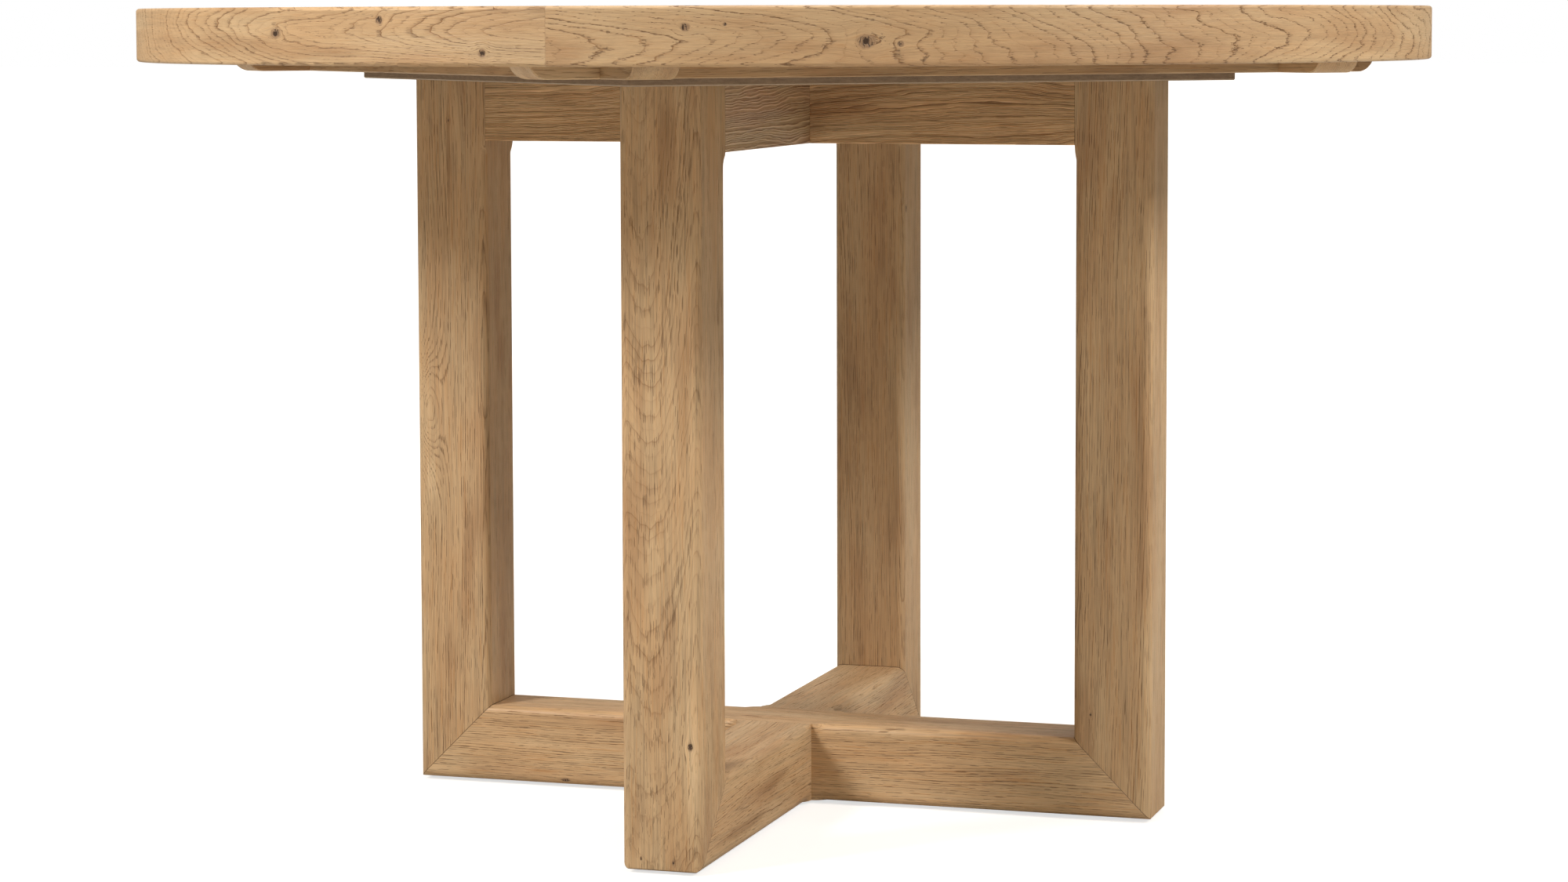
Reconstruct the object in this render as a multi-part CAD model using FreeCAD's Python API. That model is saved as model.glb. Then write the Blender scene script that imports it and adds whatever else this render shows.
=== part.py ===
"""Round oak dining table: a planked top on a base of two crossed, mitred frames.

Millimetres, +Z up. The origin is on the floor, under the centre of the top.
The left and right legs stand on the X axis, the front (-Y) and back legs on the Y axis.
"""
import FreeCAD, Part
import math
import os

V = FreeCAD.Vector
UP = V(0, 0, 1)

# Overall
TABLE_HEIGHT = 760.0
TOP_RADIUS = 610.0
GLIDE_THICKNESS = 3.0

# Top
PANEL_THICKNESS = 38.0
PLANK_COUNT = 9
BAND_DEPTH = 49.0
BAND_THICKNESS = 8.0
BAND_LENGTHS = 3
BAND_FIRST_JOINT = -91.0
BAND_ARRIS = 3.0
RIM_BLOCKS = 6
RIM_WIDTH = 39.0
RIM_FIRST_JOINT = -75.0

# Bearers under the top, a lattice turned 45 degrees from the base
LATTICE_TURN = 45.0
BEARER_WIDTH = 43.0
BEARER_DEPTH = 22.5
BEARER_OFFSET = 340.0
BEARER_HALF_LENGTH = 426.5
BEARER_END_RADIUS = 18.0
BEARER_ARRIS = 1.0

# Mounting board between the base and the top
BOARD_HALF_SIDE = 309.0
BOARD_THICKNESS = 30.0
BOARD_CORNER = 4.0
BOARD_ARRIS = 1.0

# Base frames
SECTION = 74.0
FRAME_HALF_SPAN = 367.0
TOP_RAIL_DEPTH = 60.0
OUTER_ARRIS = 8.0
INNER_ARRIS = 8.0
FOOT_ARRIS = 2.0
TOP_RAIL_ARRIS = 0.8
CUTTER_BEARING = 9.5

# Joinery
MITRE_TENON = (44.0, 46.0, 14.0)
RAIL_TENON = (50.0, 14.0, 36.0)

# Hardware
BOLT_RADIUS = 4.0
BOLT_LENGTH = 42.0
BOLT_HEAD_RADIUS = 7.0
BOLT_HEAD_HEIGHT = 4.4
BOLT_SOCKET_RADIUS = 2.9
BOLT_SOCKET_DEPTH = 2.8
BOLT_CLEARANCE = 0.5
COUNTERBORE_RADIUS = 13.0
COUNTERBORE_DEPTH = 8.0
WASHER_RADIUS = 11.0
WASHER_THICKNESS = 1.6
INSERT_RADIUS = 6.0
INSERT_LENGTH = 20.0
BEARER_SCREW = {"length": 45.0, "shank": 2.5, "head": 5.0}
BASE_SCREW = {"length": 80.0, "shank": 3.0, "head": 6.0}
GLIDE_RADIUS = 12.0
GLIDE_PIN_RADIUS = 1.5
GLIDE_PIN_LENGTH = 15.0
GLIDE_EDGE = 1.2
GLIDE_POSITION = 335.0

# Worked out from the driving dimensions
HALF = SECTION / 2
LEG_INNER = FRAME_HALF_SPAN - SECTION
WOOD_BOTTOM = GLIDE_THICKNESS
RAIL_TOP = WOOD_BOTTOM + SECTION
PANEL_BOTTOM = TABLE_HEIGHT - PANEL_THICKNESS
PANEL_RADIUS = TOP_RADIUS - BAND_THICKNESS
BAND_BOTTOM = TABLE_HEIGHT - BAND_DEPTH
BEARER_BOTTOM = PANEL_BOTTOM - BEARER_DEPTH
BOARD_BOTTOM = PANEL_BOTTOM - BOARD_THICKNESS
WASHER_BOTTOM = BOARD_BOTTOM + COUNTERBORE_DEPTH - WASHER_THICKNESS
BASE_TOP = BOARD_BOTTOM
TOP_RAIL_BOTTOM = BASE_TOP - TOP_RAIL_DEPTH
RUN_OUT = math.sqrt(INNER_ARRIS ** 2 + 2 * CUTTER_BEARING * INNER_ARRIS)
MARGIN = 1.0


# ---------------------------------------------------------------- helpers

def box(low, high):
    """A box from its lowest to its highest corner."""
    size = high.sub(low)
    return Part.makeBox(size.x, size.y, size.z, low)


def turned(shape, degrees):
    """A copy of the shape turned about the table's vertical axis."""
    copy = shape.copy()
    copy.rotate(V(0, 0, 0), UP, degrees)
    return copy


def mirrored_y(shape):
    return shape.mirror(V(0, 0, 0), V(0, 1, 0))


def mirrored_x(shape):
    return shape.mirror(V(0, 0, 0), V(1, 0, 0))


def moved(shape, offset):
    copy = shape.copy()
    copy.translate(offset)
    return copy


def polygon_prism(points, direction):
    """A closed outline of points, extruded."""
    wire = Part.makePolygon(points + [points[0]])
    return Part.Face(wire).extrude(direction)


def arc(start, middle, end):
    return Part.Arc(start, middle, end).toShape()


def line(start, end):
    return Part.LineSegment(start, end).toShape()


def ring_sector(profile_wire, first_angle, sweep):
    """A profile in the XZ plane, swept round the vertical axis."""
    solid = Part.Face(profile_wire).revolve(V(0, 0, 0), UP, sweep)
    return turned(solid, first_angle)


def rectangle_xz(x_low, x_high, z_low, z_high):
    corners = [V(x_low, 0, z_low), V(x_high, 0, z_low), V(x_high, 0, z_high), V(x_low, 0, z_high)]
    return Part.makePolygon(corners + [corners[0]])


def arris_cutter(radius, length, run_out):
    """What a bearing-guided rounding cutter removes from one arris.

    The arris is the local Z axis, the wood fills -X and -Y. The cut is full for -length < z < 0,
    and with run_out it then rises out of the wood on the cutter's own circle.
    """
    slope = radius * math.sqrt(0.5)
    middle = V(slope - radius, slope - radius, 0)
    profile = Part.Wire([
        arc(V(-radius, 0, 0), middle, V(0, -radius, 0)),
        line(V(0, -radius, 0), V(MARGIN, -radius, 0)),
        line(V(MARGIN, -radius, 0), V(MARGIN, MARGIN, 0)),
        line(V(MARGIN, MARGIN, 0), V(-radius, MARGIN, 0)),
        line(V(-radius, MARGIN, 0), V(-radius, 0, 0)),
    ])
    cut = Part.Face(profile).extrude(V(0, 0, -length))
    if not run_out:
        return cut
    spindle = CUTTER_BEARING
    sweep = Part.Wire([
        arc(V(-radius, 0, 0), middle, V(0, -radius, 0)),
        line(V(0, -radius, 0), V(spindle, -radius, 0)),
        line(V(spindle, -radius, 0), V(spindle, MARGIN, 0)),
        line(V(spindle, MARGIN, 0), V(-radius, MARGIN, 0)),
        line(V(-radius, MARGIN, 0), V(-radius, 0, 0)),
    ])
    rise = Part.Face(sweep).revolve(V(spindle, 0, 0), V(0, 1, 0), 90)
    return cut.fuse(rise)


def laid(cutter, corner, x_dir, y_dir, z_dir):
    """The cutter with its local axes laid along the given directions at a corner."""
    copy = cutter.copy()
    copy.Placement = FreeCAD.Placement(corner, FreeCAD.Rotation(x_dir, y_dir, z_dir, "ZXY"))
    return copy


def eased(shape, size, wanted):
    """Chamfer the straight edges that the wanted test picks."""
    edges = [edge for edge in shape.Edges if wanted(edge)]
    return shape.makeChamfer(size, edges)


def level_with(edge, height):
    box_of_edge = edge.BoundBox
    return abs(box_of_edge.ZMin - height) < 0.01 and abs(box_of_edge.ZMax - height) < 0.01


# ---------------------------------------------------------------- hardware shapes

def screw_body(length, shank, head):
    """A countersunk wood screw pointing up, its flat head at z = 0."""
    head_depth = head - shank
    point = shank * 2
    cone = Part.makeCone(head, shank, head_depth)
    shaft = Part.makeCylinder(shank, length - head_depth - point, V(0, 0, head_depth))
    tip = Part.makeCone(shank, 0.4, point, V(0, 0, length - point))
    return cone.fuse([shaft, tip]).removeSplitter()


def cross_recess(head):
    """The cross-shaped driver recess in a screw head at z = 0."""
    reach = head * 0.55
    depth = head * 0.45
    wide = head * 0.12
    first = box(V(-reach, -wide, -MARGIN), V(reach, wide, depth))
    second = box(V(-wide, -reach, -MARGIN), V(wide, reach, depth))
    return first.fuse(second)


def screw(length, shank, head):
    return screw_body(length, shank, head).cut(cross_recess(head))


def bolt():
    """A button-head bolt pointing up, the head's flat face at z = 0."""
    shank = Part.makeCylinder(BOLT_RADIUS, BOLT_LENGTH)
    dome_wire = Part.Wire([
        line(V(0, 0, 0), V(BOLT_HEAD_RADIUS, 0, 0)),
        arc(V(BOLT_HEAD_RADIUS, 0, 0), V(BOLT_HEAD_RADIUS * 0.82, 0, -BOLT_HEAD_HEIGHT * 0.7),
            V(BOLT_HEAD_RADIUS * 0.45, 0, -BOLT_HEAD_HEIGHT)),
        line(V(BOLT_HEAD_RADIUS * 0.45, 0, -BOLT_HEAD_HEIGHT), V(0, 0, -BOLT_HEAD_HEIGHT)),
        line(V(0, 0, -BOLT_HEAD_HEIGHT), V(0, 0, 0)),
    ])
    dome = Part.Face(dome_wire).revolve(V(0, 0, 0), UP, 360)
    corners = [V(BOLT_SOCKET_RADIUS * math.cos(math.radians(60 * i)),
                 BOLT_SOCKET_RADIUS * math.sin(math.radians(60 * i)),
                 -BOLT_HEAD_HEIGHT - MARGIN) for i in range(6)]
    socket = polygon_prism(corners, V(0, 0, BOLT_SOCKET_DEPTH + MARGIN))
    return shank.fuse(dome).cut(socket)


def washer():
    disc = Part.makeCylinder(WASHER_RADIUS, WASHER_THICKNESS)
    return disc.cut(Part.makeCylinder(BOLT_RADIUS + BOLT_CLEARANCE, WASHER_THICKNESS))


def threaded_insert():
    """The insert's body, its bore at the bolt's own radius where the threads meet."""
    sleeve = Part.makeCylinder(INSERT_RADIUS, INSERT_LENGTH)
    return sleeve.cut(Part.makeCylinder(BOLT_RADIUS, INSERT_LENGTH))


def glide():
    """A nylon disc with a nail cast into it."""
    disc = Part.makeCylinder(GLIDE_RADIUS, GLIDE_THICKNESS)
    rim = [edge for edge in disc.Edges if level_with(edge, 0)]
    disc = disc.makeFillet(GLIDE_EDGE, rim)
    pin = Part.makeCylinder(GLIDE_PIN_RADIUS, GLIDE_PIN_LENGTH, V(0, 0, GLIDE_THICKNESS))
    return disc.fuse(pin)


# ---------------------------------------------------------------- where the hardware goes

def bolt_places():
    """Eight bolts, two in each quarter between the frames."""
    near, far = 130.0, 250.0
    return [V(sx * x, sy * y, 0) for sx in (-1, 1) for sy in (-1, 1) for x, y in ((near, far), (far, near))]


def base_screw_places():
    """Two screws into each leg and one into each arm of the top rails."""
    radii = (LEG_INNER + 0.27 * SECTION, LEG_INNER + 0.73 * SECTION, 0.5 * FRAME_HALF_SPAN)
    places = []
    for quarter in range(4):
        angle = math.radians(90 * quarter)
        places += [V(r * math.cos(angle), r * math.sin(angle), 0) for r in radii]
    return places


def bearer_screw_places():
    """Four screws along each bearer, in the lattice's own axes."""
    along = (-395.0, -150.0, 150.0, 395.0)
    places = []
    for side in (-1, 1):
        places += [V(a, side * BEARER_OFFSET, 0) for a in along]
        places += [V(side * BEARER_OFFSET, a, 0) for a in along]
    return places


def glide_places():
    return [V(GLIDE_POSITION * math.cos(math.radians(90 * i)),
              GLIDE_POSITION * math.sin(math.radians(90 * i)), 0) for i in range(4)]


def gathered(shape, places, height):
    """Copies of one shape at each place, as separate solids."""
    return Part.makeCompound([moved(shape, V(p.x, p.y, height)) for p in places])


def bearer_screws_of(shape):
    lattice = gathered(shape, bearer_screw_places(), BEARER_BOTTOM)
    return turned(lattice, LATTICE_TURN)


def base_screws_of(shape):
    """Base screws point down, their heads flush with the board's top."""
    upside_down = shape.copy()
    upside_down.rotate(V(0, 0, 0), V(1, 0, 0), 180)
    return gathered(upside_down, base_screw_places(), PANEL_BOTTOM)


# ---------------------------------------------------------------- the top

def panel_holes():
    """What the inserts, bolt ends and bearer screws take out of the planks."""
    insert_hole = Part.makeCylinder(INSERT_RADIUS, INSERT_LENGTH)
    bolt_hole = Part.makeCylinder(BOLT_RADIUS + BOLT_CLEARANCE, INSERT_LENGTH + 4)
    inserts = gathered(insert_hole.fuse(bolt_hole), bolt_places(), PANEL_BOTTOM)
    screws = bearer_screws_of(screw_body(**BEARER_SCREW))
    return Part.makeCompound([inserts, screws])


def planks():
    """Edge-glued boards, cut to a disc inside the edge band."""
    width = 2 * PANEL_RADIUS / PLANK_COUNT
    disc = Part.makeCylinder(PANEL_RADIUS, PANEL_THICKNESS, V(0, 0, PANEL_BOTTOM))
    holes = panel_holes()
    made = {}
    for number in range(PLANK_COUNT):
        edge = number * width - PANEL_RADIUS
        board = box(V(-PANEL_RADIUS, edge, PANEL_BOTTOM), V(PANEL_RADIUS, edge + width, TABLE_HEIGHT))
        board = turned(board.common(disc), LATTICE_TURN)
        made["top_plank_%d" % (number + 1)] = board.cut(holes)
    return made


def edge_bands():
    """Bent oak lengths round the rim, butted end to end."""
    inner, outer = PANEL_RADIUS, TOP_RADIUS
    low, high = BAND_BOTTOM, TABLE_HEIGHT
    round_in = BAND_ARRIS
    part_way = BAND_ARRIS * (1 - math.sqrt(0.5))
    profile = Part.Wire([
        line(V(inner, 0, low), V(outer - round_in, 0, low)),
        arc(V(outer - round_in, 0, low), V(outer - part_way, 0, low + part_way), V(outer, 0, low + round_in)),
        line(V(outer, 0, low + round_in), V(outer, 0, high - round_in)),
        arc(V(outer, 0, high - round_in), V(outer - part_way, 0, high - part_way), V(outer - round_in, 0, high)),
        line(V(outer - round_in, 0, high), V(inner, 0, high)),
        line(V(inner, 0, high), V(inner, 0, low)),
    ])
    sweep = 360.0 / BAND_LENGTHS
    return {"edge_band_%d" % (i + 1): ring_sector(profile, BAND_FIRST_JOINT + i * sweep, sweep)
            for i in range(BAND_LENGTHS)}


def rim_blocks():
    """The strips that build the rim up to the band's depth."""
    profile = rectangle_xz(PANEL_RADIUS - RIM_WIDTH, PANEL_RADIUS, BAND_BOTTOM, PANEL_BOTTOM)
    sweep = 360.0 / RIM_BLOCKS
    return {"rim_block_%d" % (i + 1): ring_sector(profile, RIM_FIRST_JOINT + i * sweep, sweep)
            for i in range(RIM_BLOCKS)}


def bearer_blank():
    """One bearer along X at y = +offset, its lower end corners rounded."""
    end, radius = BEARER_HALF_LENGTH, BEARER_END_RADIUS
    low, high = BEARER_BOTTOM, PANEL_BOTTOM
    part_way = radius * (1 - math.sqrt(0.5))
    y = BEARER_OFFSET - BEARER_WIDTH / 2
    outline = Part.Wire([
        line(V(-end, y, high), V(end, y, high)),
        line(V(end, y, high), V(end, y, low + radius)),
        arc(V(end, y, low + radius), V(end - part_way, y, low + part_way), V(end - radius, y, low)),
        line(V(end - radius, y, low), V(radius - end, y, low)),
        arc(V(radius - end, y, low), V(part_way - end, y, low + part_way), V(-end, y, low + radius)),
        line(V(-end, y, low + radius), V(-end, y, high)),
    ])
    return Part.Face(outline).extrude(V(0, BEARER_WIDTH, 0))


def lap_notches(z_low, z_high):
    """The two half-lap notches of one bearer."""
    inner = BEARER_OFFSET - BEARER_WIDTH / 2
    outer = BEARER_OFFSET + BEARER_WIDTH / 2
    right = box(V(inner, inner - MARGIN, z_low), V(outer, outer + MARGIN, z_high))
    return right.fuse(mirrored_x(right))


def bearers():
    """Four bearers half-lapped into a lattice, eased along their lower arrises."""
    middle = (BEARER_BOTTOM + PANEL_BOTTOM) / 2
    holes = bearer_screws_of(screw_body(**BEARER_SCREW))

    def lower_long_edge(edge):
        return level_with(edge, BEARER_BOTTOM) and edge.BoundBox.YLength < 0.01

    through = bearer_blank().cut(lap_notches(middle, PANEL_BOTTOM + MARGIN))
    over = bearer_blank().cut(lap_notches(BEARER_BOTTOM - MARGIN, middle))
    turns = {"bearer_back_left": (through, 0), "bearer_front_right": (through, 180),
             "bearer_back_right": (over, -90), "bearer_front_left": (over, 90)}
    made = {}
    for name, (blank, turn) in turns.items():
        bar = eased(blank, BEARER_ARRIS, lower_long_edge)
        made[name] = turned(bar, LATTICE_TURN + turn).cut(holes)
    return made


def mounting_board():
    """The square board that joins the base to the top."""
    half = BOARD_HALF_SIDE
    board = box(V(-half, -half, BOARD_BOTTOM), V(half, half, PANEL_BOTTOM))
    upright = [edge for edge in board.Edges if edge.BoundBox.ZLength > 1]
    board = board.makeFillet(BOARD_CORNER, upright)
    board = eased(board, BOARD_ARRIS, lambda edge: level_with(edge, BOARD_BOTTOM))
    bolt_hole = Part.makeCylinder(BOLT_RADIUS + BOLT_CLEARANCE, BOARD_THICKNESS)
    counterbore = Part.makeCylinder(COUNTERBORE_RADIUS, COUNTERBORE_DEPTH)
    holes = gathered(bolt_hole.fuse(counterbore), bolt_places(), BOARD_BOTTOM)
    board = turned(board, LATTICE_TURN).cut(holes)
    return board.cut(base_screws_of(screw_body(**BASE_SCREW)))


# ---------------------------------------------------------------- the base

def mitre_tenon():
    """The loose tenon across the right leg's mitre."""
    length, width, thick = MITRE_TENON
    tenon = box(V(-length / 2, -width / 2, -thick / 2), V(length / 2, width / 2, thick / 2))
    tenon = tenon.makeFillet(thick / 2 - 0.5, [e for e in tenon.Edges if e.BoundBox.XLength > length - 1])
    tenon.rotate(V(0, 0, 0), V(0, 1, 0), -45)
    return moved(tenon, V(FRAME_HALF_SPAN - HALF, 0, WOOD_BOTTOM + HALF))


def rail_tenon():
    """The loose tenon between the right leg and its top rail."""
    length, width, tall = RAIL_TENON
    tenon = box(V(-length / 2, -width / 2, -tall / 2), V(length / 2, width / 2, tall / 2))
    tenon = tenon.makeFillet(width / 2 - 0.5, [e for e in tenon.Edges if e.BoundBox.XLength > length - 1])
    return moved(tenon, V(LEG_INNER, 0, (TOP_RAIL_BOTTOM + BASE_TOP) / 2))


def four_round(shape):
    """Four copies of a shape, a quarter turn apart."""
    return Part.makeCompound([turned(shape, 90 * quarter) for quarter in range(4)])


def foot_easing():
    """The small easing along the right foot's end arris."""
    corner = V(FRAME_HALF_SPAN, HALF + MARGIN, WOOD_BOTTOM)
    cutter = arris_cutter(FOOT_ARRIS, SECTION + 2 * MARGIN, False)
    return laid(cutter, corner, V(1, 0, 0), V(0, 0, -1), V(0, 1, 0))


def leg():
    """The right leg: mitred at the foot, rounded outside, stop-rounded inside."""
    blank = box(V(LEG_INNER, -HALF, WOOD_BOTTOM), V(FRAME_HALF_SPAN, HALF, BASE_TOP))
    outer = laid(arris_cutter(OUTER_ARRIS, BASE_TOP - WOOD_BOTTOM, False),
                 V(FRAME_HALF_SPAN, HALF, BASE_TOP), V(1, 0, 0), V(0, 1, 0), UP)
    stop = TOP_RAIL_BOTTOM - RUN_OUT
    inner = laid(arris_cutter(INNER_ARRIS, stop - WOOD_BOTTOM, True),
                 V(LEG_INNER, -HALF, stop), V(-1, 0, 0), V(0, -1, 0), UP)
    for cutter in (outer, inner):
        blank = blank.cut(cutter)
        blank = blank.cut(mirrored_y(cutter))
    below_mitre = polygon_prism(
        [V(FRAME_HALF_SPAN + MARGIN, -SECTION, WOOD_BOTTOM - MARGIN),
         V(LEG_INNER - MARGIN, -SECTION, RAIL_TOP + MARGIN),
         V(LEG_INNER - MARGIN, -SECTION, WOOD_BOTTOM - MARGIN)], V(0, 2 * SECTION, 0))
    blank = blank.cut(below_mitre).cut(foot_easing())
    return blank.cut(mitre_tenon()).cut(rail_tenon())


def bottom_rail(notch_low, notch_high):
    """The bottom rail along X, with a half-lap notch at the crossing."""
    low, high = WOOD_BOTTOM, RAIL_TOP
    rail = polygon_prism([V(-FRAME_HALF_SPAN, -HALF, low), V(FRAME_HALF_SPAN, -HALF, low),
                          V(LEG_INNER, -HALF, high), V(-LEG_INNER, -HALF, high)], V(0, SECTION, 0))
    stop = HALF + RUN_OUT
    length = FRAME_HALF_SPAN - stop + MARGIN
    upper = laid(arris_cutter(INNER_ARRIS, length, True),
                 V(stop, HALF, high), UP, V(0, 1, 0), V(-1, 0, 0))
    lower = laid(arris_cutter(OUTER_ARRIS, length, True),
                 V(stop, -HALF, low), V(0, 0, -1), V(0, -1, 0), V(-1, 0, 0))
    for cutter in (upper, lower):
        for side in (cutter, mirrored_y(cutter)):
            rail = rail.cut(side)
            rail = rail.cut(mirrored_x(side))
    easing = foot_easing()
    rail = rail.cut(easing).cut(mirrored_x(easing))
    tenon = mitre_tenon()
    rail = rail.cut(tenon).cut(mirrored_x(tenon))
    return rail.cut(box(V(-HALF, -SECTION, notch_low), V(HALF, SECTION, notch_high)))


def top_rail(notch_low, notch_high):
    """The top rail along X, butted between the legs, with a half-lap notch."""
    rail = box(V(-LEG_INNER, -HALF, TOP_RAIL_BOTTOM), V(LEG_INNER, HALF, BASE_TOP))
    rail = rail.cut(box(V(-HALF, -SECTION, notch_low), V(HALF, SECTION, notch_high)))

    def lower_long_edge(edge):
        return level_with(edge, TOP_RAIL_BOTTOM) and edge.BoundBox.YLength < 0.01

    rail = eased(rail, TOP_RAIL_ARRIS, lower_long_edge)
    tenon = rail_tenon()
    return rail.cut(tenon).cut(mirrored_x(tenon))


def base():
    """Two frames at right angles, half-lapped where their rails cross."""
    leg_names = ("leg_right", "leg_back", "leg_left", "leg_front")
    screw_holes = base_screws_of(screw_body(**BASE_SCREW))
    pin = Part.makeCylinder(GLIDE_PIN_RADIUS, GLIDE_PIN_LENGTH)
    pin_holes = gathered(pin, glide_places(), WOOD_BOTTOM)
    made = {}
    right_leg = leg()
    for quarter, name in enumerate(leg_names):
        made[name] = turned(right_leg, 90 * quarter).cut(screw_holes)
    lower_middle = WOOD_BOTTOM + HALF
    upper_middle = (TOP_RAIL_BOTTOM + BASE_TOP) / 2
    across = bottom_rail(WOOD_BOTTOM - MARGIN, lower_middle)
    along = turned(bottom_rail(lower_middle, RAIL_TOP + MARGIN), 90)
    made["bottom_rail_across"] = across.cut(pin_holes)
    made["bottom_rail_front_back"] = along.cut(pin_holes)
    across = top_rail(TOP_RAIL_BOTTOM - MARGIN, upper_middle)
    along = turned(top_rail(upper_middle, BASE_TOP + MARGIN), 90)
    made["top_rail_across"] = across.cut(screw_holes)
    made["top_rail_front_back"] = along.cut(screw_holes)
    made["mitre_tenons"] = four_round(mitre_tenon())
    made["rail_tenons"] = four_round(rail_tenon())
    return made


def hardware():
    """Screws, bolts, washers, threaded inserts and glides."""
    return {
        "top_bolts": gathered(bolt(), bolt_places(), WASHER_BOTTOM),
        "top_bolt_washers": gathered(washer(), bolt_places(), WASHER_BOTTOM),
        "threaded_inserts": gathered(threaded_insert(), bolt_places(), PANEL_BOTTOM),
        "bearer_screws": bearer_screws_of(screw(**BEARER_SCREW)),
        "base_screws": base_screws_of(screw(**BASE_SCREW)),
        "floor_glides": gathered(glide(), glide_places(), 0),
    }


def table():
    parts = {"mounting_board": mounting_board()}
    for group in (planks(), edge_bands(), rim_blocks(), bearers(), base(), hardware()):
        parts.update(group)
    return parts


os.makedirs("parts", exist_ok=True)
for node, shape in table().items():
    shape.exportStep("parts/%s.step" % node)
    print(node, len(shape.Solids), "solid(s)", round(shape.Volume / 1000), "cm3", shape.isValid())
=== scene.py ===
"""Looks for the round oak table: procedural oak cut from virtual logs, a pale studio and the camera."""
import math

import bpy
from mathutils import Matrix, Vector


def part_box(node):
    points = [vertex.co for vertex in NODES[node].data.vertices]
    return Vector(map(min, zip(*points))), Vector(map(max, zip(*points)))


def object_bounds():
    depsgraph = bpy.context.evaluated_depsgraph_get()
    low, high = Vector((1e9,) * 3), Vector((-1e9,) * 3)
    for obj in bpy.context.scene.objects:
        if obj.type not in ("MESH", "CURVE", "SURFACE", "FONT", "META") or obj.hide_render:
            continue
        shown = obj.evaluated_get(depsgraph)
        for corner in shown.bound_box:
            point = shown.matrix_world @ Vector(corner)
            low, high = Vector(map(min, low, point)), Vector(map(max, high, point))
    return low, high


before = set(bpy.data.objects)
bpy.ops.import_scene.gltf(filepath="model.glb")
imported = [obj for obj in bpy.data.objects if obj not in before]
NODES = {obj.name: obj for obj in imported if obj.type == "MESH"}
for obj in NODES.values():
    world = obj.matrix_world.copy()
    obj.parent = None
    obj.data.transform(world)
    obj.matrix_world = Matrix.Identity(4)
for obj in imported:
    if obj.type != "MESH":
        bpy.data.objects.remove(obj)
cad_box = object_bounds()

MM = 0.001
WHITE = (1.0, 1.0, 1.0, 1.0)

# Grain space: X along the board, Y and Z across it, in metres
HALF = (0.5, 0.5, 0.5)
ACROSS = (0.0, 1.0, 1.0)
SEED_STEP = (1.7, 5.3, 3.9)
YEAR_STEP = 13.7

# How fast each pattern changes along and across the grain, per metre
SLOW_DRIFT = (4.0, 17.0, 17.0)
QUICK_RIPPLE = (28.0, 130.0, 130.0)
RING_UNEVENNESS = 110.0
STAIN_EDGE = (40.0, 260.0, 260.0)
STREAKS = (5.0, 260.0, 260.0)
CLOUDS = (7.0, 36.0, 36.0)
PORES_ACROSS = 1800.0
FIBRES_ACROSS = 720.0
FIBRE_PER_PORE = 0.22
KNOT_WOBBLE = 260.0
KNOT_CRACKS = 330.0

# Oak's colours, and the tints that multiply them
PALE_OAK = (0.572, 0.388, 0.216)
TAN_OAK = (0.545, 0.355, 0.180)
STAIN_TINT = (0.30, 0.37, 0.44)
SMUDGE_TINT = (0.83, 0.77, 0.73, 1.0)
FIBRE_TINT = (0.74, 0.66, 0.57, 1.0)
EARLY_TINT = (0.58, 0.47, 0.37, 1.0)
# Painted highlight: lightens each year's crest, standing for light caught on the brushed ridges
CREST_PAINTED_HIGHLIGHT = (1.35, 1.37, 1.40, 1.0)
PORE_COLOUR = (0.13, 0.062, 0.026, 1.0)
SEAM_COLOUR = (0.07, 0.038, 0.018, 1.0)
KNOT_PALE = (0.36, 0.225, 0.125, 1.0)
KNOT_DARK = (0.19, 0.105, 0.055, 1.0)
KNOT_HEART = (0.052, 0.027, 0.014, 1.0)

# How strongly each pattern shades the wood
STREAK_CONTRAST = 0.34
CLOUD_CONTRAST = 0.22
PORE_DARKNESS = 0.68
SEAM_DARKNESS = 0.75

# A year's brown: a core and a weaker tail, each year at its own strength
YEAR_ONSET = 0.05
CORE_STARTS, CORE_WEIGHT = 0.04, 0.65
TAIL_STARTS, TAIL_WEIGHT = 0.05, 0.35
YEAR_RANGE, YEAR_LEAST = 0.8, 0.2
# Where each year's crest lies: raised in relief, and lightened in colour as a painted highlight
CREST_FROM, CREST_TO = 0.6, 0.97
UNEVEN_YEARS = 2.4

# Relief, as shares of its depth, and sheen
PORE_DEPTH = -1.3
YEAR_DEPTH = -0.35
STREAK_HEIGHT = 0.5
FIBRE_HEIGHT = 0.6
CREST_HEIGHT = 0.6
SEAM_DEPTH = 1.2
RELIEF_DEPTH = 0.5 * MM
RELIEF_STRENGTH = 0.8
OAK_ROUGHNESS = 0.45
PORE_ROUGHNESS = 0.25
STREAK_ROUGHNESS = 0.16
OAK_IOR = 1.45
OAK_SPECULAR = 0.4


# ---------------------------------------------------------------- node graph helper

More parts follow.
